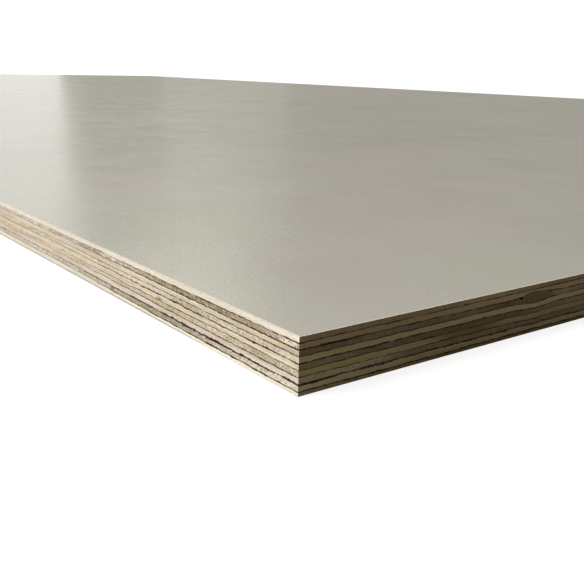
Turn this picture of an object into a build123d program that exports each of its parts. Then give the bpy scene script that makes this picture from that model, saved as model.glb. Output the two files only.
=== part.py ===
from build123d import *
import os

# A sheet of film-faced birch plywood: nine cross-laid veneers, a phenolic glue line between
# each two, and a thin resin film on both faces. X runs along the face grain, Y across the
# sheet and Z up through the layers. The origin is the middle of the underside.

# Format of the sheet
SHEET_LENGTH = 2500.0
SHEET_WIDTH = 1250.0

# Thickness of each kind of layer
FILM = 0.15
TOP_FACE_VENEER = 0.98
BOTTOM_FACE_VENEER = 0.65
INNER_VENEER = 1.29
GLUE_LINE = 0.13
VENEERS = 9

# Core lap: two strips of one long veneer overlap instead of meeting edge to edge.
# The back strip rides over the front one, and the lap runs the whole length of the sheet.
LAP_VENEER = 3
LAP_FROM_FRONT = 65.2
LAP_OVERLAP = 11.1
LAP_COVER = 0.42
LAP_TIP = 0.25
LAP_TIP_GAP = 0.9
NOSE_GAP = 1.3
HUMP_CLIMB = 3.6
HUMP_FALL = 13.0
HOLLOW_LEAD = 1.3
HOLLOW_DEEPEST = 5.2
LOWER_HOLLOW = 0.25
LOWER_HOLLOW_SPREAD = 2.5

# Open joint: two strips of one cross veneer stand apart, right across the sheet
OPEN_JOINT_VENEER = 8
OPEN_JOINT_FROM_END = 81.0
OPEN_JOINT_GAP = 0.5

# Straight steps that one side of a bend is drawn in
BEND_STEPS = 8

# The upper glue line is lifted until LAP_COVER is left of the veneer above. The two strips
# keep their full thickness, so the lower glue line sinks by what the lift leaves over.
LAP_LIFT = INNER_VENEER - LAP_COVER
LAP_SINK = INNER_VENEER - LAP_LIFT

# Places across the sheet and along it
FRONT = -SHEET_WIDTH / 2
BACK = SHEET_WIDTH / 2
LEFT_END = -SHEET_LENGTH / 2
RIGHT_END = SHEET_LENGTH / 2
LAP_NOSE = FRONT + LAP_FROM_FRONT
LAP_END = LAP_NOSE + LAP_OVERLAP
JOINT_RIGHT = RIGHT_END - OPEN_JOINT_FROM_END
JOINT_LEFT = JOINT_RIGHT - OPEN_JOINT_GAP

# Where each bent glue line leaves its level, is furthest from it and comes back,
# and how far it is moved there. The keys are the glue lines, counted from the top.
BENDS = {
    LAP_VENEER - 1: (
        LAP_NOSE - NOSE_GAP,
        LAP_NOSE + HUMP_CLIMB,
        LAP_NOSE + HUMP_CLIMB + HUMP_FALL,
        LAP_LIFT,
    ),
    LAP_VENEER: (
        LAP_NOSE - HOLLOW_LEAD,
        LAP_NOSE + HOLLOW_DEEPEST,
        LAP_END,
        -LAP_SINK,
    ),
    LAP_VENEER + 1: (
        LAP_NOSE - HOLLOW_LEAD - LOWER_HOLLOW_SPREAD,
        LAP_NOSE + HOLLOW_DEEPEST,
        LAP_END + LOWER_HOLLOW_SPREAD,
        -LOWER_HOLLOW,
    ),
}


def veneer_thickness(number):
    """Thickness of a veneer, counted from the top: the outer two are sanded thinner."""
    sanded = {1: TOP_FACE_VENEER, VENEERS: BOTTOM_FACE_VENEER}
    return sanded.get(number, INNER_VENEER)


def sheet_thickness():
    """All the layers of the sheet together."""
    veneers = sum(veneer_thickness(number) for number in range(1, VENEERS + 1))
    return 2 * FILM + veneers + (VENEERS - 1) * GLUE_LINE


def veneer_top(number):
    """Level of a veneer's upper side, away from the lap."""
    above = sum(veneer_thickness(n) + GLUE_LINE for n in range(1, number))
    return sheet_thickness() - FILM - above


def bend(start, end):
    """Points of a gentle S from one (y, z) point to another, level at both of its ends."""
    (start_y, start_z), (end_y, end_z) = start, end
    points = []
    for step in range(BEND_STEPS + 1):
        along = step / BEND_STEPS
        rise = along * along * (3 - 2 * along)
        points.append((start_y + along * (end_y - start_y), start_z + rise * (end_z - start_z)))
    return points


def boundary(level, glue_line=None):
    """A layer's upper or lower side from front to back, as seen on the end of the sheet.

    It follows the bend of the glue line that it touches.
    """
    points = [(FRONT, level)]
    if glue_line in BENDS:
        start, peak, end, shift = BENDS[glue_line]
        points += bend((start, level), (peak, level + shift))
        points += bend((peak, level + shift), (end, level))[1:]
    return points + [(BACK, level)]


def outline(*points):
    """The face inside a closed line of (y, z) points."""
    return make_face(Polyline(*points, close=True))


def section(lower, upper):
    """The end view of a layer, between its lower and its upper side."""
    return outline(*lower, *reversed(upper))


def prism(end_view, start=LEFT_END, end=RIGHT_END):
    """An end view run along the sheet from one X to another."""
    run = extrude(Plane.YZ * end_view, amount=end - start, dir=(1, 0, 0))
    return Pos(start, 0, 0) * run


def film(top):
    """One of the two outer films, flush with the sheet's edges."""
    return prism(section(boundary(top - FILM), boundary(top)))


def glue_line(number):
    """The glue line under a veneer. It has one thickness, also where the lap bends it."""
    top = veneer_top(number) - veneer_thickness(number)
    return prism(section(boundary(top - GLUE_LINE, number), boundary(top, number)))


def veneer_section(number):
    """The end view of a whole veneer, between the glue lines above and below it."""
    top = veneer_top(number)
    bottom = top - veneer_thickness(number)
    return section(boundary(bottom, number), boundary(top, number - 1))


def lap_contact():
    """Where the two strips touch: it falls from the upper nose to the lower strip's tip."""
    top = veneer_top(LAP_VENEER)
    return bend((LAP_NOSE, top), (LAP_END, top - INNER_VENEER + LAP_TIP))


def lap_front_strip():
    """The front strip: flat to the nose, then thinning under the back strip to a blunt tip."""
    top = veneer_top(LAP_VENEER)
    depth = top - INNER_VENEER - LAP_SINK
    strip = outline((FRONT, top), *lap_contact(), (LAP_END, depth), (FRONT, depth))
    return veneer_section(LAP_VENEER) & strip


def lap_back_strip():
    """The back strip: a blunt nose over the front strip, then down on to the glue line.

    A narrow gap stays open ahead of its nose, and another beyond the front strip's tip.
    """
    top = veneer_top(LAP_VENEER)
    bottom = top - INNER_VENEER
    landing = (LAP_END + LAP_TIP_GAP, bottom)
    height = top + LAP_LIFT
    strip = outline(*lap_contact(), landing, (BACK, bottom), (BACK, height), (LAP_NOSE, height))
    return veneer_section(LAP_VENEER) & strip


def write(name, piece):
    """Write one piece to the file that carries its name."""
    export_step(piece, f"parts/{name}.step")


def write_veneer(number):
    """Write a veneer, or the two strips of one that has a lap or an open joint."""
    if number in (1, VENEERS):
        kind = "face_veneer"
    else:
        kind = "long_veneer" if number % 2 else "cross_veneer"
    if number == LAP_VENEER:
        write(f"{kind}_{number}_front", prism(lap_front_strip()))
        write(f"{kind}_{number}_back", prism(lap_back_strip()))
    elif number == OPEN_JOINT_VENEER:
        write(f"{kind}_{number}_end", prism(veneer_section(number), start=JOINT_RIGHT))
        write(f"{kind}_{number}_main", prism(veneer_section(number), end=JOINT_LEFT))
    else:
        write(f"{kind}_{number}", prism(veneer_section(number)))


os.makedirs("parts", exist_ok=True)
write("face_film_top", film(sheet_thickness()))
write("face_film_bottom", film(FILM))
for veneer_number in range(1, VENEERS + 1):
    write_veneer(veneer_number)
for glue_number in range(1, VENEERS):
    write(f"glue_line_{glue_number}", glue_line(glue_number))
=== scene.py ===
import math

import bmesh
import bpy
from bpy.props import FloatProperty, FloatVectorProperty, PointerProperty
from mathutils import Matrix, Vector, noise


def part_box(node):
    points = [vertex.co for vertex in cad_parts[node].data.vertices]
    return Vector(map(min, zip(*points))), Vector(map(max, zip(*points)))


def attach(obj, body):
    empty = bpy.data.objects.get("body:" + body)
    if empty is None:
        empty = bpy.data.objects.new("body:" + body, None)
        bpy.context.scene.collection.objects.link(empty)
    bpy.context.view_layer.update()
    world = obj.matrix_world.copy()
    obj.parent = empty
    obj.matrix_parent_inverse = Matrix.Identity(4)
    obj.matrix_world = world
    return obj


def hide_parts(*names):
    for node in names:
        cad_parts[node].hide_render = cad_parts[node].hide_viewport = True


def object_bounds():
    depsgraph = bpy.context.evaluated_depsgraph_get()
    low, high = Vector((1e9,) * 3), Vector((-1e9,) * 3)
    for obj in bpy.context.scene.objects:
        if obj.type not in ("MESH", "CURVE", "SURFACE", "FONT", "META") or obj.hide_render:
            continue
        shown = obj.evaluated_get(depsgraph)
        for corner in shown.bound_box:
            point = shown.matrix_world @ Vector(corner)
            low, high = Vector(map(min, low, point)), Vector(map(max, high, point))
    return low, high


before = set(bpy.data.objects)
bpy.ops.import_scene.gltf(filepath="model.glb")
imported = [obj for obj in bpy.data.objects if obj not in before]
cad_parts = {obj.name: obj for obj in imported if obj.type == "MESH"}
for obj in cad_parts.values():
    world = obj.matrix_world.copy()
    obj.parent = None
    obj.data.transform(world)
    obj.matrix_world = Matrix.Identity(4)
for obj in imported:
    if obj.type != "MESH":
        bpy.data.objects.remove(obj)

bl_info = {
    "name": "Film-faced plywood sheet",
    "version": (1, 0, 0),
    "blender": (4, 5, 0),
    "location": "3D View > Sidebar > Plywood",
    "description": "Sawn veneers, glue lines and resin films of a birch plywood sheet",
    "category": "Add Mesh",
}

MM = 0.001

# The sheet as it was packed: X runs along the face grain, Z up through the layers
CAD_LOW, CAD_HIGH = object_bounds()
VENEERS = 9
LAP_VENEER = 3
JOINT_VENEER = 8


def node_height(node):
    """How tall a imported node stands."""
    low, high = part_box(node)
    return high.z - low.z


FILM = node_height("face_film_top")
GLUE = node_height("glue_line_1")
THICKNESS = [node_height("face_veneer_1")]
THICKNESS += [node_height("cross_veneer_6")] * (VENEERS - 2)
THICKNESS += [node_height("face_veneer_9")]
LAP_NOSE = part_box("long_veneer_3_back")[0].y
LAP_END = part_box("long_veneer_3_front")[1].y
LAP_TIP = 0.25 * MM
LAP_LANDING = 0.9 * MM
NOSE_GAP = 1.7 * MM
NOSE_DENT = 0.42 * MM
JOINT_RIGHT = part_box("cross_veneer_8_end")[0].x
JOINT_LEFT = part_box("cross_veneer_8_main")[1].x
JOINT_SLANT = 0.5 * MM

# The corner that the camera looks at
CORNER = Vector((CAD_HIGH.x, CAD_LOW.y, CAD_LOW.z))

# How finely the rim is cut, by distance from that corner
RIM_ZONES = (
    (60 * MM, 0.25 * MM),
    (130 * MM, 0.4 * MM),
    (400 * MM, 2 * MM),
    (3000 * MM, 10 * MM),
)
RIM_DEPTH = 6 * MM

# Width of each glue line on the sawn rim against its mean, counted from the top
GLUE_WIDTH = {1: 1.15, 2: 1.45, 3: 0.98, 4: 1.5, 5: 0.95, 6: 1.02, 7: 1.95, 8: 1.4}

# How far each glue line stands above its level at the corner, and how much higher it has
# climbed on the front edge where the press squeezed the sheet unevenly
CORNER_LIFT = {1: -0.12, 2: -0.07, 3: 0.05, 4: 0.07, 5: 0.15, 6: 0.12, 7: 0.10, 8: 0.02}
FRONT_CLIMB = {1: -0.10, 2: 0.45, 3: 0.20, 4: 0.60, 5: 0.45, 6: 0.90, 7: 0.75, 8: 0.90}
CORNER_REACH = 160 * MM
CLIMB_PEAK = 115 * MM
CLIMB_END = 420 * MM

# How far the lap presses down the glue lines under it on the sawn end
LAP_SAG = {3: 0.26, 4: 0.26, 5: 0.30, 6: 0.30, 7: 0.06}
SAG_MIDDLE = LAP_NOSE + 3.5 * MM
SAG_REACH = 9 * MM

# Where glue has smeared down the front edge from one line: how far along, how far to either
# side, and how much wider that makes the line
SMEARS = {7: (33 * MM, 15 * MM, 0.5), 2: (36 * MM, 12 * MM, 0.25)}

# Along the front the glue lines grow thin and pale: where that starts and ends
FADE_START = 50 * MM
FADE_END = 115 * MM


def colour(red, green, blue):
    """A display colour, 0 to 255, as the linear values that shaders take."""
    def linear(value):
        value /= 255
        return value / 12.92 if value <= 0.04045 else ((value + 0.055) / 1.055) ** 2.4
    return linear(red), linear(green), linear(blue)


# Each veneer's colour on the long front edge and on the right-hand end. Odd veneers show
# long grain in front and end grain at the end, and even veneers the other way round. The end
# colours are written darker and browner than the front ones: painted shade on that end.
FRONT_COLOUR = {
    1: (240, 233, 219),
    2: (225, 216, 204),
    3: (221, 213, 194),
    4: (222, 212, 194),
    5: (226, 216, 194),
    6: (214, 202, 182),
    7: (219, 209, 196),
    8: (219, 211, 195),
    9: (245, 240, 223),
}
SHADED_END_COLOUR = {
    1: (191, 171, 138),
    2: (206, 189, 155),
    3: (165, 149, 123),
    4: (218, 204, 162),
    5: (184, 168, 141),
    6: (216, 199, 156),
    7: (173, 158, 130),
    8: (210, 197, 162),
    9: (168, 151, 114),
}

# How deep the saw has torn each veneer's end grain, and how streaky its long grain is
TORN = {1: 0.3, 2: 1.0, 3: 0.55, 4: 0.6, 5: 0.45, 6: 0.5, 7: 0.4, 8: 0.7, 9: 0.6}
STREAKY = {1: 0.8, 2: 0.35, 3: 1.4, 4: 0.35, 5: 1.4, 6: 0.5, 7: 1.3, 8: 0.5, 9: 0.6}

# How strong the finest marks are on the lit front edge and on the shaded end
FRONT_MARKS = 1.4
END_MARKS = 0.85

# Stretches of one veneer with another tone: how far their middle lies from the corner, how
# far they reach to either side, and their red, green and blue against the veneer's own
FRONT_STAINS = {
    2: (
        (38 * MM, 32 * MM, (0.61, 0.56, 0.48)),
        (68 * MM, 10 * MM, (0.90, 0.88, 0.84)),
        (97 * MM, 10 * MM, (0.76, 0.72, 0.68)),
        (42 * MM, 7 * MM, (0.90, 0.88, 0.84)),
        (11 * MM, 6 * MM, (0.82, 0.80, 0.76)),
        (0 * MM, 6 * MM, (1.06, 1.10, 1.06)),
    ),
    3: (
        (0 * MM, 7 * MM, (0.82, 0.82, 0.80)),
        (9 * MM, 9 * MM, (1.02, 0.96, 0.86)),
        (20 * MM, 5 * MM, (0.94, 0.92, 0.88)),
        (33 * MM, 12 * MM, (1.07, 1.08, 1.09)),
        (68 * MM, 10 * MM, (1.12, 1.12, 1.14)),
        (105 * MM, 20 * MM, (0.90, 0.89, 0.88)),
    ),
    4: ((42 * MM, 8 * MM, (0.86, 0.83, 0.78)), (97 * MM, 9 * MM, (1.16, 1.16, 1.16))),
    6: ((12 * MM, 9 * MM, (0.90, 0.88, 0.84)), (58 * MM, 22 * MM, (0.88, 0.86, 0.82))),
    8: (
        (4 * MM, 20 * MM, (1.08, 1.10, 1.13)),
        (56 * MM, 30 * MM, (0.66, 0.64, 0.60)),
        (81.3 * MM, 1.6 * MM, (0.60, 0.55, 0.50)),
        (97 * MM, 8 * MM, (0.80, 0.78, 0.74)),
    ),
    9: ((125 * MM, 60 * MM, (0.88, 0.88, 0.90)),),
}
END_STAINS = {
    1: ((56 * MM, 11 * MM, (1.14, 1.18, 1.20)), (0 * MM, 5 * MM, (1.15, 1.12, 1.10))),
    2: ((28 * MM, 18 * MM, (0.93, 0.92, 0.85)), (64 * MM, 14 * MM, (1.08, 1.10, 1.10))),
    3: (
        (59 * MM, 5 * MM, (0.82, 0.80, 0.80)),
        (70 * MM, 7 * MM, (0.88, 0.84, 0.80)),
        (87 * MM, 9 * MM, (1.30, 1.32, 1.35)),
    ),
    4: ((0 * MM, 12 * MM, (1.12, 1.12, 1.12)),),
    5: ((47 * MM, 34 * MM, (0.65, 0.63, 0.59)), (18 * MM, 6 * MM, (0.86, 0.84, 0.81))),
    6: ((80 * MM, 50 * MM, (0.77, 0.76, 0.77)), (47 * MM, 10 * MM, (0.60, 0.55, 0.53))),
    7: ((2 * MM, 24 * MM, (1.80, 1.98, 2.12)), (74 * MM, 12 * MM, (0.88, 0.88, 0.82))),
    8: ((8 * MM, 36 * MM, (1.36, 1.38, 1.36)),),
    9: ((4 * MM, 26 * MM, (1.80, 1.82, 1.98)), (86 * MM, 12 * MM, (0.84, 0.85, 0.74))),
}

# A grey band along the foot of the lowest veneer's front edge: how tall, and where along the
# front it starts
FOOT_GREY_HEIGHT = 0.32 * MM
FOOT_GREY_START = 34 * MM

# Dark pin knots cut through on the front edge: how far along, and how far down, in one veneer
PIN_KNOTS = {5: ((115.5 * MM, 6.4 * MM), (55 * MM, 6.3 * MM)), 6: ((60 * MM, 7.4 * MM),)}


class PlywoodSizes(bpy.types.PropertyGroup):
    """Sizes of the fine relief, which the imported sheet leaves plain."""

    waver: FloatProperty(
        name="Glue line waver",
        description="How far a glue line strays from its level along the rim",
        default=0.17 * MM, min=0.0, unit="LENGTH",
    )
    ragged: FloatProperty(
        name="Ragged edge",
        description="How far glue has crept into the wood on either side of a line",
        default=0.10 * MM, min=0.0, unit="LENGTH",
    )
    arris: FloatProperty(
        name="Film arris",
        description="Width of the trimmed edge of the film",
        default=0.22 * MM, min=0.0, unit="LENGTH",
    )
    saw_depth: FloatProperty(
        name="Saw depth",
        description="How far the saw has torn the wood back from the glue lines",
        default=0.05 * MM, min=0.0, unit="LENGTH",
    )


class PlywoodColours(bpy.types.PropertyGroup):
    """Colours of the film, the glue and the dark grain."""

    film: FloatVectorProperty(
        name="Film", description="Resin film, warm light grey",
        default=colour(170, 168, 158), size=3, min=0.0, max=1.0, subtype="COLOR",
    )
    film_edge: FloatVectorProperty(
        name="Film edge", description="Trimmed edge of the film, where its paper shows",
        default=colour(222, 213, 198), size=3, min=0.0, max=1.0, subtype="COLOR",
    )
    glue: FloatVectorProperty(
        name="Glue", description="Cured phenolic glue",
        default=colour(61, 46, 36), size=3, min=0.0, max=1.0, subtype="COLOR",
    )
    # The pore colour is painted shade in the open pits of the sawn end grain.
    pores: FloatVectorProperty(
        name="Pores", description="Torn and dirty pores in the sawn end grain",
        default=colour(96, 74, 55), size=3, min=0.0, max=1.0, subtype="COLOR",
    )


def sizes():
    return bpy.context.scene.plywood_sizes


def colours():
    return bpy.context.scene.plywood_colours


# Levels and bends

def veneer_top(number):
    """Level of a veneer's upper side, away from the lap."""
    return CAD_HIGH.z - FILM - sum(THICKNESS[:number - 1]) - (number - 1) * GLUE


def veneer_bottom(number):
    return veneer_top(number) - THICKNESS[number - 1]


def read_bend(node):
    """Where a packed glue line leaves its level, is furthest from it and comes back."""
    lower = {}
    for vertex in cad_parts[node].data.vertices:
        y = round(vertex.co.y, 6)
        lower[y] = min(lower.get(y, 1.0), vertex.co.z)
    places = sorted(lower)
    level = lower[places[0]]
    moved = [y for y in places if abs(lower[y] - level) > 1e-6]
    peak = max(places, key=lambda y: abs(lower[y] - level))
    start = max(y for y in places if y < moved[0])
    end = min(y for y in places if y > moved[-1])
    return start, peak, end, lower[peak] - level


BENDS = {line: read_bend(f"glue_line_{line}") for line in (2, 3, 4)}


def smooth(value):
    """Eases from 0 to 1, level at both ends."""
    value = min(max(value, 0.0), 1.0)
    return value * value * (3 - 2 * value)


def bend(line, y):
    """How far the core lap moves a glue line, up or down."""
    if line not in BENDS:
        return 0.0
    start, peak, end, shift = BENDS[line]
    if y <= peak:
        return shift * smooth((y - start) / (peak - start))
    return shift * smooth((end - y) / (end - peak))


def bend_stations(*lines):
    """Places across the sheet where a bent layer is creased, for a smooth hump."""
    steps = 10
    found = set()
    for line in lines:
        if line in BENDS:
            start, peak, end, _ = BENDS[line]
            for step in range(steps + 1):
                found.add(round(start + (peak - start) * step / steps, 6))
                found.add(round(peak + (end - peak) * step / steps, 6))
    return sorted(found)


def rim_weight(x, y):
    """1 on the sawn rim, falling to 0 a few millimetres into the sheet."""
    inside = min(CAD_HIGH.x - x, x - CAD_LOW.x, CAD_HIGH.y - y, y - CAD_LOW.y)
    return smooth(1 - inside / RIM_DEPTH)


def ripple(x, y, seed, wavelength):
    """Even noise from about -1 to 1 that repeats nowhere on the sheet."""
    return noise.noise(Vector((x / wavelength, y / wavelength, seed * 3.71 + 0.5)))


def press_lift(line, x, y):
    """How far uneven pressing has lifted a glue line, near the corner and along the front."""
    along, across = CORNER.x - x, y - CORNER.y
    near = 1 - smooth(max(along, across) / CORNER_REACH)
    climb = min(along / CLIMB_PEAK, 1) ** 1.5 * (1 - smooth((along - CLIMB_PEAK) / CLIMB_END))
    on_front = 1 - smooth(across / CORNER_REACH)
    sag = LAP_SAG.get(line, 0) * smooth(1 - abs(y - SAG_MIDDLE) / SAG_REACH)
    return (CORNER_LIFT[line] * near + FRONT_CLIMB[line] * climb * on_front - sag) * MM


def glue_waver(line, x, y):
    """How far a glue line strays from its level."""
    slow = 0.45 * ripple(x, y, line, 31 * MM) + 0.5 * ripple(x, y, line + 20, 8 * MM)
    quick = 0.55 * ripple(x, y, line + 40, 2.7 * MM) + 0.4 * ripple(x, y, line + 50, 1.1 * MM)
    return press_lift(line, x, y) + sizes().waver * (slow + quick)


def glue_half_width(line, x, y, side):
    """Half the width of a glue line on the rim, ragged where the glue has crept."""
    broad = 1 + 0.7 * ripple(x, y, line + 60, 12 * MM) + 0.9 * ripple(x, y, line + 70, 3.1 * MM)
    creep = max(0.0, ripple(x, y, line * 2 + side + 80, 1.7 * MM))
    teeth = max(0.0, ripple(x, y, line * 2 + side + 120, 0.6 * MM))
    ragged = sizes().ragged * (creep + teeth) * GLUE_WIDTH[line] ** 1.5
    half = max(0.5 * GLUE * GLUE_WIDTH[line] * broad, 0.15 * GLUE) + ragged
    if y > CORNER.y + RIM_DEPTH:
        return half
    along = CORNER.x - x
    if line in SMEARS:
        middle, reach, wider = SMEARS[line]
        half *= 1 + wider * smooth(1 - abs(along - middle) / reach)
    return half * (1 - 0.45 * smooth((along - FADE_START) / (FADE_END - FADE_START)))


def glue_side(line, x, y, side):
    """Height of a glue line's upper (side 1) or lower (side 0) face at a place."""
    middle = veneer_bottom(line) - GLUE / 2 + bend(line, y)
    sign = 1 if side else -1
    weight = rim_weight(x, y)
    half = GLUE / 2
    if weight > 0:
        middle += weight * glue_waver(line, x, y)
        half += weight * (glue_half_width(line, x, y, side) - half)
    return middle + sign * half


def lap_contact(y):
    """Height of the face where the two lapped strips touch."""
    top = veneer_top(LAP_VENEER)
    bottom = veneer_bottom(LAP_VENEER)
    along = (y - LAP_NOSE) / (LAP_END - LAP_NOSE)
    if along <= 1:
        return top + (bottom + LAP_TIP - top) * smooth(along)
    past = min((y - LAP_END) / LAP_LANDING, 1)
    return bottom + LAP_TIP * (1 - past)


# Layers

def cut_outline(bm, low, high):
    """A rectangle of edges, cut finely near the corner that the camera looks at."""
    places = ((low.x, low.y), (high.x, low.y), (high.x, high.y), (low.x, high.y))
    corners = [bm.verts.new((x, y, 0)) for x, y in places]
    for first, second in zip(corners, corners[1:] + corners[:1]):
        bm.edges.new((first, second))
    for reach, _ in RIM_ZONES[:-1]:
        for place, normal in (
            (CORNER - Vector((reach, 0, 0)), Vector((1, 0, 0))),
            (CORNER + Vector((0, reach, 0)), Vector((0, 1, 0))),
        ):
            bmesh.ops.bisect_plane(
                bm, geom=bm.verts[:] + bm.edges[:], plane_co=(place.x, place.y, 0),
                plane_no=normal, dist=1e-7,
            )
    for edge in list(bm.edges):
        middle = (edge.verts[0].co + edge.verts[1].co) / 2
        away = max(CORNER.x - middle.x, middle.y - CORNER.y)
        spacing = next(step for reach, step in RIM_ZONES if away < reach)
        cuts = math.ceil(edge.calc_length() / spacing) - 1
        if cuts > 0:
            bmesh.ops.subdivide_edges(bm, edges=[edge], cuts=cuts)


def close_face(bm, low, high, depth):
    """Fill an outline: a band along its edges, then one plain face inside."""
    band = bmesh.ops.extrude_edge_only(bm, edges=bm.edges[:])["geom"]
    inner = [part for part in band if isinstance(part, bmesh.types.BMVert)]
    for vertex in inner:
        vertex.co.x = min(max(vertex.co.x, low.x + depth), high.x - depth)
        vertex.co.y = min(max(vertex.co.y, low.y + depth), high.y - depth)
    bmesh.ops.remove_doubles(bm, verts=inner, dist=1e-6)
    hole = [edge for edge in bm.edges if edge.is_boundary and rim_of(edge, low, high, depth)]
    bmesh.ops.contextual_create(bm, geom=hole)


def rim_of(edge, low, high, depth):
    """True for an edge of the inner rectangle, False for one of the outline."""
    middle = (edge.verts[0].co + edge.verts[1].co) / 2
    inside = min(middle.x - low.x, high.x - middle.x, middle.y - low.y, high.y - middle.y)
    return inside > depth / 2


def tear_back(bm, low, high, torn):
    """Move the sawn walls of a veneer back by a ragged fraction of a millimetre."""
    for vertex in bm.verts:
        place = vertex.co
        on_end = min(place.x - low.x, high.x - place.x) < 1e-6
        on_side = min(place.y - low.y, high.y - place.y) < 1e-6
        if not (on_end or on_side):
            continue
        rough = 0.5 + 0.5 * noise.noise(place / (0.9 * MM)) + 0.4 * noise.noise(place / (5 * MM))
        depth = sizes().saw_depth * torn * max(rough, 0.1)
        if on_end:
            place.x += depth if place.x < (low.x + high.x) / 2 else -depth
        if on_side:
            place.y += depth if place.y < (low.y + high.y) / 2 else -depth


def build_layer(name, low, high, underside, topside, stations=(), depth=RIM_DEPTH, torn=0.0):
    """A thin layer with its own height under and over each place.

    Wall faces on the long edges get material 0, those on the ends 1, the rest 2.
    """
    bm = bmesh.new()
    cut_outline(bm, low, high)
    close_face(bm, low, high, depth)
    for station in stations:
        bmesh.ops.bisect_plane(
            bm, geom=bm.verts[:] + bm.edges[:] + bm.faces[:],
            plane_co=(0, station, 0), plane_no=(0, 1, 0), dist=1e-6,
        )
    under = list(bm.verts)
    grown = bmesh.ops.extrude_face_region(
        bm, geom=bm.verts[:] + bm.edges[:] + bm.faces[:], use_keep_orig=True
    )["geom"]
    over = [part for part in grown if isinstance(part, bmesh.types.BMVert)]
    for vertex in under:
        vertex.co.z = underside(vertex.co.x, vertex.co.y)
    for vertex in over:
        vertex.co.z = topside(vertex.co.x, vertex.co.y)
    bmesh.ops.recalc_face_normals(bm, faces=bm.faces[:])
    for face in bm.faces:
        normal = face.normal
        if abs(normal.z) > 0.9:
            face.material_index = 2
        else:
            face.material_index = 1 if abs(normal.x) > abs(normal.y) else 0
    if torn:
        tear_back(bm, low, high, torn)
    mesh = bpy.data.meshes.new(name)
    bm.to_mesh(mesh)
    bm.free()
    piece = bpy.data.objects.new(name, mesh)
    bpy.context.scene.collection.objects.link(piece)
    return piece


def finish_layer(piece, node, materials):
    """Give a layer its materials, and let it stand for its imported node."""
    for material in materials:
        piece.data.materials.append(material)
    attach(piece, "root")
    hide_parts(node)


# Materials

class Finish:
    """A node material and short ways to add to it."""

    def __init__(self, name):
        self.material = bpy.data.materials.new(name)
        self.material.use_nodes = True
        self.tree = self.material.node_tree
        self.tree.nodes.clear()
        self.output = self.add("ShaderNodeOutputMaterial")
        self.shader = self.add("ShaderNodeBsdfPrincipled")
        self.link(self.shader.outputs["BSDF"], self.output.inputs["Surface"])
        self.place = self.add("ShaderNodeTexCoord").outputs["Object"]

    def add(self, kind, **values):
        node = self.tree.nodes.new(kind)
        for key, value in values.items():
            setattr(node, key, value)
        return node

    def link(self, source, target):
        self.tree.links.new(source, target)

    def scaled(self, scale, offset=(0, 0, 0)):
        """The object's own coordinates, scaled along each axis."""
        node = self.add("ShaderNodeMapping")
        self.link(self.place, node.inputs["Vector"])
        node.inputs["Scale"].default_value = scale
        node.inputs["Location"].default_value = offset
        return node.outputs["Vector"]

    def noise(self, scale, detail=3.0, roughness=0.5, offset=(0, 0, 0)):
        """Noise from 0 to 1 with its own scale along each axis, in waves a metre."""
        node = self.add("ShaderNodeTexNoise")
        node.inputs["Scale"].default_value = 1.0
        node.inputs["Detail"].default_value = detail
        node.inputs["Roughness"].default_value = roughness
        self.link(self.scaled(scale, offset), node.inputs["Vector"])
        return node.outputs["Fac"]

    def spots(self, scale, offset=(0, 0, 0)):
        """Distance to the nearest of many scattered points."""
        node = self.add("ShaderNodeTexVoronoi")
        node.inputs["Scale"].default_value = 1.0
        self.link(self.scaled(scale, offset), node.inputs["Vector"])
        return node.outputs["Distance"]

    def between(self, value, low, high, start=0.0, end=1.0):
        """A value stretched from low..high to start..end, and held there."""
        node = self.add("ShaderNodeMapRange")
        self.link(value, node.inputs["Value"])
        for name, number in (
            ("From Min", low), ("From Max", high), ("To Min", start), ("To Max", end)
        ):
            node.inputs[name].default_value = number
        return node.outputs["Result"]

    def maths(self, operation, first, second):
        node = self.add("ShaderNodeMath", operation=operation)
        for socket, value in zip(node.inputs, (first, second)):
            if isinstance(value, (int, float)):
                socket.default_value = value
            else:
                self.link(value, socket)
        return node.outputs["Value"]

    def mix(self, factor, first, second):
        """A mix of two colours, each a colour or another node's output."""
        node = self.add("ShaderNodeMix", data_type="RGBA")
        self.link(factor, node.inputs["Factor"])
        for socket, value in zip((node.inputs[6], node.inputs[7]), (first, second)):
            if isinstance(value, tuple):
                socket.default_value = (*value, 1.0)
            else:
                self.link(value, socket)
        return node.outputs[2]

    def multiply(self, source, tint, factor):
        """Tint a colour where a factor is high."""
        node = self.add("ShaderNodeMix", data_type="RGBA", blend_type="MULTIPLY")
        self.link(factor, node.inputs["Factor"])
        self.link(source, node.inputs[6])
        node.inputs[7].default_value = (*tint, 1.0)
        return node.outputs[2]

    def bump(self, height, depth, strength=1.0):
        """Relief of a real depth, in metres."""
        node = self.add("ShaderNodeBump")
        node.inputs["Strength"].default_value = strength
        node.inputs["Distance"].default_value = depth
        self.link(height, node.inputs["Height"])
        self.link(node.outputs["Normal"], self.shader.inputs["Normal"])

    def axis(self, name):
        """One of the object's own coordinates."""
        node = self.add("ShaderNodeSeparateXYZ")
        self.link(self.place, node.inputs["Vector"])
        return node.outputs[name]

    def away(self, along_x):
        """How far a place lies from the corner, along the front edge or along the end."""
        if along_x:
            return self.maths("SUBTRACT", CORNER.x, self.axis("X"))
        return self.maths("SUBTRACT", self.axis("Y"), CORNER.y)

    def paint(self, source):
        self.link(source, self.shader.inputs["Base Color"])

    def set(self, **values):
        for name, value in values.items():
            self.shader.inputs[name.replace("_", " ")].default_value = value


def shade(tone, factor):
    """A colour made darker or lighter."""
    return tuple(min(1.0, part * factor) for part in tone)


def warm(tone, red, green, blue):
    """A colour with each part scaled by itself."""
    return tuple(min(1.0, part * by) for part, by in zip(tone, (red, green, blue)))


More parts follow.
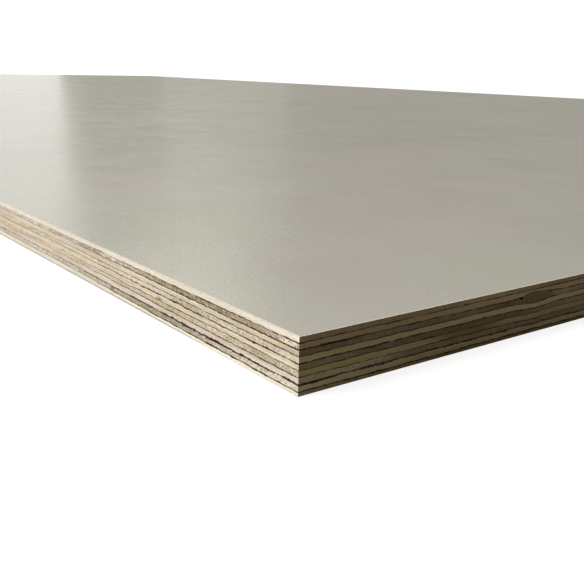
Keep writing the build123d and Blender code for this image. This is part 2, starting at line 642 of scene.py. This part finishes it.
def stained(finish, source, stains, veneer_noise, along_x):
    """Tone a veneer's colour along its edge, where the wood or the glue has marked it."""
    away = finish.away(along_x)
    for middle, reach, tint in stains:
        offset = finish.maths("ABSOLUTE", finish.maths("SUBTRACT", away, middle), 0)
        ragged = finish.maths(
            "ADD", offset, finish.between(veneer_noise, 0.3, 0.7, -0.35 * reach, 0.35 * reach)
        )
        fade = finish.between(ragged, 0.55 * reach, 1.1 * reach, 1, 0)
        source = finish.multiply(source, tint, fade)
    return source


def knotted(finish, source, knots):
    """Add a small dark knot at each place along the front edge."""
    for along, down in knots:
        middle = Vector((CORNER.x - along, CORNER.y, CAD_HIGH.z - down))
        node = finish.add("ShaderNodeVectorMath", operation="DISTANCE")
        scale = Vector((0.42, 1.0, 1.5))
        finish.link(finish.scaled(tuple(scale)), node.inputs[0])
        node.inputs[1].default_value = middle * scale
        fade = finish.between(node.outputs["Value"], 0.25 * MM, 0.95 * MM, 0.85, 0)
        source = finish.multiply(source, (0.45, 0.36, 0.27), fade)
    return source


def greyed_foot(finish, source, tint):
    """A grey band on the front edge just over the lower film, starting some way from the corner.
    """
    low = finish.between(
        finish.axis("Z"), CAD_LOW.z + FILM + FOOT_GREY_HEIGHT / 2, CAD_LOW.z + FILM + FOOT_GREY_HEIGHT,
        1, 0,
    )
    along = finish.between(finish.away(True), FOOT_GREY_START, FOOT_GREY_START + 14 * MM)
    return finish.multiply(source, tint, finish.maths("MULTIPLY", low, along))


def long_grain(number, tone, stains, along_x):
    """Veneer sawn along its grain: long streaks, darker late wood and fine closed pores."""
    finish = Finish(f"long_grain_{number}_{'front' if along_x else 'end'}")
    streaky = STREAKY[number]
    marks = FRONT_MARKS if along_x else END_MARKS

    def grain(along, across):
        return (along, across, across) if along_x else (across, along, across)

    shift = (number * 1.7, number * 2.3, number * 0.9)
    broad = finish.noise(grain(34, 700), detail=3, roughness=0.55, offset=shift)
    streak = finish.noise(grain(150, 1900), detail=4, roughness=0.6, offset=shift)
    pore = finish.noise(grain(900, 4000), detail=3, roughness=0.6, offset=shift)
    tinted = finish.mix(
        finish.between(broad, 0.34, 0.66),
        warm(tone, 1 + 0.07 * streaky, 1 + 0.08 * streaky, 1 + 0.10 * streaky),
        warm(tone, 1 - 0.10 * streaky, 1 - 0.14 * streaky, 1 - 0.21 * streaky),
    )
    streaked = finish.mix(
        finish.between(streak, 0.50, 0.74, 0, 0.75 * streaky), tinted,
        warm(tone, 0.74, 0.68, 0.58),
    )
    pored = finish.mix(
        finish.between(pore, 0.54, 0.74, 0, (0.28 + 0.36 * streaky) * marks), streaked,
        shade(tone, 0.50),
    )
    marked = stained(finish, pored, stains, broad, along_x)
    if along_x and number == VENEERS:
        marked = greyed_foot(finish, marked, (0.58, 0.59, 0.60))
    finish.paint(knotted(finish, marked, PIN_KNOTS.get(number, ()) if along_x else ()))
    finish.set(Roughness=0.72, Specular_IOR_Level=0.2)
    finish.bump(finish.maths("ADD", streak, finish.maths("MULTIPLY", pore, 0.6)), 0.06 * MM)
    return finish.material


def end_grain(number, tone, stains, along_x):
    """Veneer sawn across its grain: torn open pores, pale fibre ends, painted shade in pits and
    patches.
    """
    finish = Finish(f"end_grain_{number}_{'front' if along_x else 'end'}")
    torn = TORN[number]
    marks = FRONT_MARKS if along_x else END_MARKS
    shift = (number * 2.9, number * 1.3, number * 0.7)
    patch = finish.noise((45, 45, 240), detail=4, roughness=0.65, offset=shift)
    blotch = finish.noise((330, 330, 520), detail=4, roughness=0.7, offset=shift)
    tick = finish.noise((850, 850, 700), detail=4, roughness=0.72, offset=shift)
    fibre = finish.noise((1000, 1000, 1100), detail=3, offset=(shift[2], shift[0], shift[1]))
    pit = finish.spots((1700, 1700, 1700), offset=shift)
    # Lighter and darker patches: the darker, browner ones are painted shade where the torn grain
    # is rough.
    patch_shaded = finish.mix(
        finish.between(patch, 0.38, 0.64), shade(tone, 1 + 0.16 * torn),
        warm(tone, 1 - 0.26 * torn, 1 - 0.28 * torn, 1 - 0.32 * torn),
    )
    blotched = finish.mix(
        finish.between(blotch, 0.50, 0.64, 0, 0.7 * torn), patch_shaded,
        warm(tone, 0.62, 0.57, 0.50),
    )
    ticked = finish.mix(
        finish.between(tick, 0.50, 0.64, 0, (0.25 + 0.4 * torn) * marks), blotched,
        warm(tone, 0.56, 0.50, 0.43),
    )
    pale = finish.mix(
        finish.between(fibre, 0.56, 0.68, 0, (0.2 + 0.4 * torn) * marks), ticked,
        shade(tone, 1.32),
    )
    depth = finish.between(pit, 0.10, 0.32, 1, 0)
    # The pits take the pore colour, most in the darker patches: painted shade in the open pores.
    shaded_pits = finish.maths(
        "MULTIPLY", depth, finish.between(patch, 0.35, 0.62, 0.35 * torn, 0.95 * torn)
    )
    pitted = finish.mix(shaded_pits, pale, tuple(colours().pores))
    finish.paint(stained(finish, pitted, stains, patch, along_x))
    finish.set(Roughness=0.85, Specular_IOR_Level=0.12)
    relief = finish.maths("SUBTRACT", fibre, finish.maths("ADD", tick, depth))
    finish.bump(relief, 0.20 * MM, 0.5 + 0.5 * torn)
    return finish.material


def glue_finish(line, side, level):
    """Dark cured glue: near black where it is thick, browner where wood shows through."""
    finish = Finish(f"glue_{line}_{side}")
    # level is painted light or shade: lighter glue on the shaded end, near black in the gap at
    # the lap's nose.
    tone = shade(tuple(colours().glue), level)
    run = finish.noise((220, 220, 1500), detail=4, roughness=0.6, offset=(line * 1.9, 0, 0))
    fleck = finish.noise((1900, 1900, 1900), detail=3, offset=(0, line * 2.1, 0))
    worn = finish.mix(finish.between(run, 0.42, 0.64), shade(tone, 0.55), shade(tone, 2.3))
    flecked = finish.mix(finish.between(fleck, 0.60, 0.72, 0, 0.55), worn, shade(tone, 7.0))
    fade = finish.between(finish.away(True), FADE_START, FADE_END, 0, 0.5)
    finish.paint(finish.mix(fade, flecked, shade(tone, 9.0)))
    finish.set(Roughness=0.6, Specular_IOR_Level=0.2)
    finish.bump(fleck, 0.05 * MM)
    return finish.material


def film_finish():
    """Satin resin film: faint clouds of tone, the veneer's grain under it, orange peel, and
    small bright specks that are painted glints.
    """
    finish = Finish("resin_film")
    tone = tuple(colours().film)
    cloud = finish.noise((6, 6, 6), detail=2, roughness=0.5)
    hue = finish.noise((11, 11, 11), detail=1, offset=(3.1, 0.4, 0))
    grain = finish.noise((14, 620, 1), detail=3, offset=(0.3, 1.7, 0))
    glint_speck = finish.spots((260, 260, 1))
    clouded = finish.mix(
        finish.between(cloud, 0.35, 0.68), shade(tone, 1.03), shade(tone, 0.97)
    )
    greener = finish.multiply(clouded, (0.98, 1.0, 0.965), finish.between(hue, 0.60, 0.40))
    pinker = finish.multiply(greener, (1.02, 0.985, 1.01), finish.between(hue, 0.40, 0.62))
    grained = finish.mix(finish.between(grain, 0.50, 0.80, 0, 0.07), pinker, shade(tone, 0.92))
    # Small specks 1.8 times lighter: painted glints on the film.
    finish.paint(
        finish.mix(finish.between(glint_speck, 0.025, 0.06, 0.3, 0), grained, shade(tone, 1.8))
    )
    peel = finish.noise((1500, 1500, 1500), detail=3, roughness=0.6)
    sheen = finish.noise((30, 30, 30), detail=1, offset=(1.1, 2.2, 0))
    sparkle = finish.noise((2400, 2400, 2400), detail=1, offset=(0.7, 1.9, 0))
    rough = finish.maths(
        "ADD", finish.between(sheen, 0.3, 0.7, 0.25, 0.28),
        finish.between(sparkle, 0.3, 0.7, -0.03, 0.03),
    )
    finish.link(rough, finish.shader.inputs["Roughness"])
    finish.set(Specular_IOR_Level=0.5)
    finish.bump(peel, 0.045 * MM, 0.9)
    return finish.material


def film_edge_finish(side, level):
    """Trimmed edge of the film: pale paper, slightly frayed, made darker by level as painted
    shade.
    """
    finish = Finish(f"film_edge_{side}")
    tone = shade(tuple(colours().film_edge), level)
    fray = finish.noise((1800, 1800, 1800), detail=4, roughness=0.65)
    finish.paint(finish.mix(finish.between(fray, 0.42, 0.66), tone, shade(tone, 0.66)))
    finish.set(Roughness=0.6, Specular_IOR_Level=0.3)
    finish.bump(fray, 0.03 * MM)
    return finish.material


def film_underside_finish():
    """Edge of the lower film: pale at the corner, greyer further along."""
    finish = Finish("film_underside_edge")
    tone = tuple(colours().film_edge)
    fray = finish.noise((900, 900, 1800), detail=4, roughness=0.65)
    frayed = finish.mix(finish.between(fray, 0.42, 0.66), tone, shade(tone, 0.7))
    finish.paint(greyed_foot(finish, frayed, (0.60, 0.63, 0.60)))
    finish.set(Roughness=0.6, Specular_IOR_Level=0.3)
    finish.bump(fray, 0.03 * MM)
    return finish.material


# Operators

class PLYWOOD_OT_add_veneers(bpy.types.Operator):
    """Add the nine veneers with their sawn edges, the lap and the open joint"""

    bl_idname = "plywood.add_veneers"
    bl_label = "Veneers"

    def execute(self, context):
        for number in range(1, VENEERS + 1):
            self.add_veneer(number)
        return {"FINISHED"}

    def finishes(self, number):
        """Materials for the long edges, the ends and the hidden faces of a veneer."""
        front = colour(*FRONT_COLOUR[number]), FRONT_STAINS.get(number, ()), True
        # The end's colours carry painted shade.
        end = colour(*SHADED_END_COLOUR[number]), END_STAINS.get(number, ()), False
        if number % 2:
            long_edge = long_grain(number, *front)
            return [long_edge, end_grain(number, *end), long_edge]
        long_edge = long_grain(number, *end)
        return [end_grain(number, *front), long_edge, long_edge]

    def add_veneer(self, number):
        def topside(x, y):
            if number == 1:
                return CAD_HIGH.z - FILM
            return glue_side(number - 1, x, y, 0)

        def underside(x, y):
            if number == VENEERS:
                return CAD_LOW.z + FILM
            return glue_side(number, x, y, 1)

        finishes = self.finishes(number)
        stations = bend_stations(number - 1, number)
        slot = "face_veneer" if number in (1, VENEERS) else "core_veneer"
        if number == LAP_VENEER:
            self.add_lapped(number, topside, underside, stations, finishes, slot)
        elif number == JOINT_VENEER:
            self.add_parted(number, topside, underside, finishes, slot)
        else:
            kind = "long" if number % 2 else "cross"
            if number in (1, VENEERS):
                kind = "face"
            piece = build_layer(
                f"sawn_{kind}_veneer_{number}", CAD_LOW, CAD_HIGH, underside, topside,
                stations, torn=TORN[number],
            )
            finish_layer(piece, f"{kind}_veneer_{number}", finishes)

    def add_lapped(self, number, topside, underside, stations, finishes, slot):
        """The front strip runs under the nose of the back strip."""

        def front_top(x, y):
            level = topside(x, y) - bend(number - 1, y)
            if y > LAP_NOSE:
                return min(lap_contact(y), topside(x, y))
            return level - NOSE_DENT * (1 - smooth((LAP_NOSE - y) / NOSE_GAP))

        def back_bottom(x, y):
            return max(lap_contact(y), underside(x, y))

        end = Vector((CAD_HIGH.x, LAP_END, 0))
        nose = Vector((CAD_LOW.x, LAP_NOSE, 0))
        # A copy of the glue at 0.3 of its level: painted shade for the gap at the lap's nose.
        finishes = finishes + [glue_finish(number - 1, "hollow_shade", 0.3)]
        stations = sorted([*stations, LAP_NOSE - NOSE_GAP, LAP_NOSE - 0.01 * MM])
        front = build_layer(
            f"sawn_long_veneer_{number}_front", CAD_LOW, end, underside, front_top, stations,
            torn=TORN[number],
        )
        self.paint_hollow_shade(front)
        finish_layer(front, f"long_veneer_{number}_front", finishes)
        back = build_layer(
            f"sawn_long_veneer_{number}_back", nose, CAD_HIGH, back_bottom, topside, stations,
            torn=TORN[number],
        )
        self.paint_hollow_shade(back)
        finish_layer(back, f"long_veneer_{number}_back", finishes)

    def paint_hollow_shade(self, piece):
        """Painted shade on the walls of the gap at the lap's nose, in a dark copy of the glue:
        the fourth material.
        """
        for face in piece.data.polygons:
            ahead = LAP_NOSE - face.center.y
            if -0.5 * MM < ahead < NOSE_GAP and abs(face.normal.x) < 0.5:
                face.material_index = 3

    def add_parted(self, number, topside, underside, finishes, slot):
        """Two strips that stand apart, with a torn, slanting gap."""
        main = build_layer(
            f"sawn_cross_veneer_{number}_main", CAD_LOW,
            Vector((JOINT_LEFT, CAD_HIGH.y, 0)), underside, topside, torn=TORN[number],
        )
        self.slant_wall(main, number, JOINT_LEFT)
        finish_layer(main, f"cross_veneer_{number}_main", finishes)
        end = build_layer(
            f"sawn_cross_veneer_{number}_end", Vector((JOINT_RIGHT, CAD_LOW.y, 0)),
            CAD_HIGH, underside, topside, torn=TORN[number],
        )
        self.slant_wall(end, number, JOINT_RIGHT)
        finish_layer(end, f"cross_veneer_{number}_end", finishes)

    def slant_wall(self, piece, number, wall):
        """Lean the wall at the open joint away from the corner, upwards."""
        middle = (veneer_top(number) + veneer_bottom(number)) / 2
        for vertex in piece.data.vertices:
            if abs(vertex.co.x - wall) < 0.2 * MM:
                up = (vertex.co.z - middle) / THICKNESS[number - 1]
                vertex.co.x -= 2 * JOINT_SLANT * up


class PLYWOOD_OT_add_glue(bpy.types.Operator):
    """Add the eight dark glue lines, ragged on the sawn rim"""

    bl_idname = "plywood.add_glue"
    bl_label = "Glue lines"

    def execute(self, context):
        for line in range(1, VENEERS):
            front = glue_finish(line, "front", 1.0)
            # The end's glue is a copy painted 1.8 times lighter than the front's, for its paler
            # look in the shade there.
            end = glue_finish(line, "end", 1.8)
            piece = build_layer(
                f"ragged_glue_{line}", CAD_LOW, CAD_HIGH,
                lambda x, y: glue_side(line, x, y, 0),
                lambda x, y: glue_side(line, x, y, 1),
                bend_stations(line),
            )
            finish_layer(piece, f"glue_line_{line}", [front, end, front])
        return {"FINISHED"}


class PLYWOOD_OT_add_films(bpy.types.Operator):
    """Add the resin films, with their trimmed edges"""

    bl_idname = "plywood.add_films"
    bl_label = "Films"

    def execute(self, context):
        film, lower_edge = film_finish(), film_underside_finish()
        # The end's film edge is a copy at half the level: painted shade on the shaded end.
        edge, end = film_edge_finish("front", 1.0), film_edge_finish("end", 0.5)
        arris = sizes().arris

        def outer(x, y):
            """0 on the rim, 1 past the trimmed edge."""
            inside = min(CAD_HIGH.x - x, x - CAD_LOW.x, CAD_HIGH.y - y, y - CAD_LOW.y)
            return min(inside / arris, 1)

        top = build_layer(
            "satin_film_top", CAD_LOW, CAD_HIGH,
            lambda x, y: CAD_HIGH.z - FILM,
            lambda x, y: CAD_HIGH.z - 0.45 * FILM * (1 - outer(x, y)), depth=arris,
        )
        # The arris faces take the pale edge colour: the film's paper, and partly a painted
        # highlight along the trimmed edge.
        for face in top.data.polygons:
            if 0.5 < face.normal.z < 0.99:
                face.material_index = 0
        finish_layer(top, "face_film_top", [edge, end, film])
        bottom = build_layer(
            "satin_film_bottom", CAD_LOW, CAD_HIGH,
            lambda x, y: CAD_LOW.z + 0.3 * FILM * (1 - outer(x, y)),
            lambda x, y: CAD_LOW.z + FILM, depth=arris,
        )
        finish_layer(bottom, "face_film_bottom", [lower_edge, end, film])
        return {"FINISHED"}


class PLYWOOD_OT_add_stage(bpy.types.Operator):
    """Add the pale floor, the soft light and the camera"""

    bl_idname = "plywood.add_stage"
    bl_label = "Floor, light and camera"

    # Camera, set from the lines of the sheet's edges: where it stands from the corner,
    # the way round and up that it looks from, and how far it is turned about its view
    STAND = Vector((111.0, -85.9, 60.1)) * MM
    AZIMUTH = math.radians(52.90)
    ELEVATION = math.radians(15.75)
    ROLL = math.radians(1.32)
    LENS = 49.66

    # Light: the way to the key lamp, its softness, and the levels of the shaded side and of
    # the room that the film mirrors
    KEY_FROM = Vector((-0.22, -0.70, 0.68))
    KEY_ANGLE = math.radians(18)
    KEY_LEVEL = 0.86
    SHADE_LEVEL = (0.165, 0.150, 0.128)
    ROOM_LEVEL = (0.16, 0.155, 0.145)
    FLOOR_DROP = 0.1 * MM
    FLOOR_REACH = 30.0

    # Soft lamps behind the sheet, in its sheen: the way round from X and up, the width and
    # height, all in degrees, the brightness and the tint
    SOFT_LAMPS = {
        "pale_wall": (173.0, 22.0, 29.0, 44.0, 0.95, (1.0, 0.99, 0.965)),
        "dim_wall": (148.0, 14.0, 9.0, 28.0, 0.12, (1.0, 1.0, 0.90)),
        "ceiling": (141.0, 40.0, 42.0, 35.0, 0.80, (0.985, 0.985, 1.03)),
        "lamp": (151.5, 25.0, 9.0, 17.0, 1.70, (1.0, 1.0, 0.86)),
    }
    LAMP_DISTANCE = 4.0

    def execute(self, context):
        self.add_camera(context)
        self.add_key()
        for name, place in self.SOFT_LAMPS.items():
            self.add_soft_lamp(name, *place)
        self.add_world(context)
        self.add_floor()
        context.scene.view_settings.view_transform = "Standard"
        return {"FINISHED"}

    def add_camera(self, context):
        data = bpy.data.cameras.new("camera")
        data.sensor_width = 36
        data.lens = self.LENS
        data.clip_start = 0.01
        data.clip_end = 100
        camera = bpy.data.objects.new("camera", data)
        context.scene.collection.objects.link(camera)
        back = Vector((
            math.sin(self.AZIMUTH) * math.cos(self.ELEVATION),
            -math.cos(self.AZIMUTH) * math.cos(self.ELEVATION),
            math.sin(self.ELEVATION),
        ))
        aim = (-back).to_track_quat("-Z", "Y").to_matrix().to_4x4()
        turn = Matrix.Rotation(self.ROLL, 4, "Z")
        camera.matrix_world = Matrix.Translation(CORNER + self.STAND) @ aim @ turn
        context.scene.camera = camera

    def add_key(self):
        """A broad sun: a front face and the top both get about the light of a plain level."""
        data = bpy.data.lights.new("key", "SUN")
        data.energy = self.KEY_LEVEL * math.pi / self.KEY_FROM.normalized().z
        data.angle = self.KEY_ANGLE
        data.color = (1.0, 0.985, 0.96)
        lamp = bpy.data.objects.new("key", data)
        lamp.rotation_mode = "QUATERNION"
        lamp.rotation_quaternion = self.KEY_FROM.to_track_quat("Z", "Y")
        bpy.context.scene.collection.objects.link(lamp)

    def add_soft_lamp(self, name, turn, rise, width, height, brightness, tint):
        """A soft lamp that stands behind the sheet and shows in the film's sheen."""
        turn, rise = math.radians(turn), math.radians(rise)
        way = Vector((
            math.cos(turn) * math.cos(rise), math.sin(turn) * math.cos(rise), math.sin(rise)
        ))
        data = bpy.data.lights.new(name, "AREA")
        data.shape = "RECTANGLE"
        data.size = 2 * self.LAMP_DISTANCE * math.tan(math.radians(width / 2))
        data.size_y = 2 * self.LAMP_DISTANCE * math.tan(math.radians(height / 2))
        data.energy = brightness * math.pi * data.size * data.size_y
        data.color = tint
        lamp = bpy.data.objects.new(name, data)
        lamp.location = CORNER + way * self.LAMP_DISTANCE
        lamp.rotation_mode = "QUATERNION"
        lamp.rotation_quaternion = way.to_track_quat("Z", "Y")
        lamp.visible_camera = False
        bpy.context.scene.collection.objects.link(lamp)

    def add_world(self, context):
        """White to the camera, a plain room in reflections, and dim on the shaded side."""
        world = bpy.data.worlds.new("studio")
        world.use_nodes = True
        tree = world.node_tree
        tree.nodes.clear()
        output = tree.nodes.new("ShaderNodeOutputWorld")
        path = tree.nodes.new("ShaderNodeLightPath")
        shown = None
        for ray, level in (
            (None, self.SHADE_LEVEL),
            ("Is Glossy Ray", self.ROOM_LEVEL),
            ("Is Camera Ray", (1, 1, 1)),
        ):
            light = tree.nodes.new("ShaderNodeBackground")
            light.inputs["Color"].default_value = (*level, 1)
            if shown is None:
                shown = light.outputs["Background"]
                continue
            mix = tree.nodes.new("ShaderNodeMixShader")
            tree.links.new(path.outputs[ray], mix.inputs["Fac"])
            tree.links.new(shown, mix.inputs[1])
            tree.links.new(light.outputs["Background"], mix.inputs[2])
            shown = mix.outputs["Shader"]
        tree.links.new(shown, output.inputs["Surface"])
        context.scene.world = world

    def add_floor(self):
        bm = bmesh.new()
        bmesh.ops.create_grid(bm, x_segments=2, y_segments=2, size=self.FLOOR_REACH)
        bmesh.ops.translate(bm, verts=bm.verts, vec=(0, 0, CAD_LOW.z - self.FLOOR_DROP))
        mesh = bpy.data.meshes.new("floor")
        bm.to_mesh(mesh)
        bm.free()
        floor = bpy.data.objects.new("floor", mesh)
        bpy.context.scene.collection.objects.link(floor)
        finish = Finish("pale_floor")
        tree = finish.tree
        tree.nodes.remove(finish.shader)
        path = finish.add("ShaderNodeLightPath")
        bounce = finish.add("ShaderNodeBsdfDiffuse")
        bounce.inputs["Color"].default_value = (0.13, 0.12, 0.10, 1)
        seen = finish.add("ShaderNodeBsdfDiffuse")
        seen.inputs["Color"].default_value = (0.17, 0.17, 0.17, 1)
        lift = finish.add("ShaderNodeEmission")
        lift.inputs["Strength"].default_value = 0.88
        bright = finish.add("ShaderNodeAddShader")
        mix = finish.add("ShaderNodeMixShader")
        finish.link(seen.outputs["BSDF"], bright.inputs[0])
        finish.link(lift.outputs["Emission"], bright.inputs[1])
        finish.link(path.outputs["Is Camera Ray"], mix.inputs["Fac"])
        finish.link(bounce.outputs["BSDF"], mix.inputs[1])
        finish.link(bright.outputs["Shader"], mix.inputs[2])
        finish.link(mix.outputs["Shader"], finish.output.inputs["Surface"])
        floor.data.materials.append(finish.material)


class PLYWOOD_PT_panel(bpy.types.Panel):
    """Sizes, colours and pieces of the plywood sheet"""

    bl_idname = "PLYWOOD_PT_panel"
    bl_label = "Plywood sheet"
    bl_space_type = "VIEW_3D"
    bl_region_type = "UI"
    bl_category = "Plywood"

    def draw(self, context):
        layout = self.layout
        for group in (context.scene.plywood_sizes, context.scene.plywood_colours):
            box = layout.box()
            for name in group.__annotations__:
                box.prop(group, name)
        for operator in STEPS:
            layout.operator(operator.bl_idname)


STEPS = (
    PLYWOOD_OT_add_veneers,
    PLYWOOD_OT_add_glue,
    PLYWOOD_OT_add_films,
    PLYWOOD_OT_add_stage,
)
CLASSES = (PlywoodSizes, PlywoodColours, *STEPS, PLYWOOD_PT_panel)


def register():
    for kind in CLASSES:
        bpy.utils.register_class(kind)
    bpy.types.Scene.plywood_sizes = PointerProperty(type=PlywoodSizes)
    bpy.types.Scene.plywood_colours = PointerProperty(type=PlywoodColours)


def unregister():
    del bpy.types.Scene.plywood_colours
    del bpy.types.Scene.plywood_sizes
    for kind in reversed(CLASSES):
        bpy.utils.unregister_class(kind)


def main():
    register()
    bpy.ops.plywood.add_veneers()
    bpy.ops.plywood.add_glue()
    bpy.ops.plywood.add_films()
    bpy.ops.plywood.add_stage()
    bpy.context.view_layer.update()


if __name__ == "__main__":
    main()
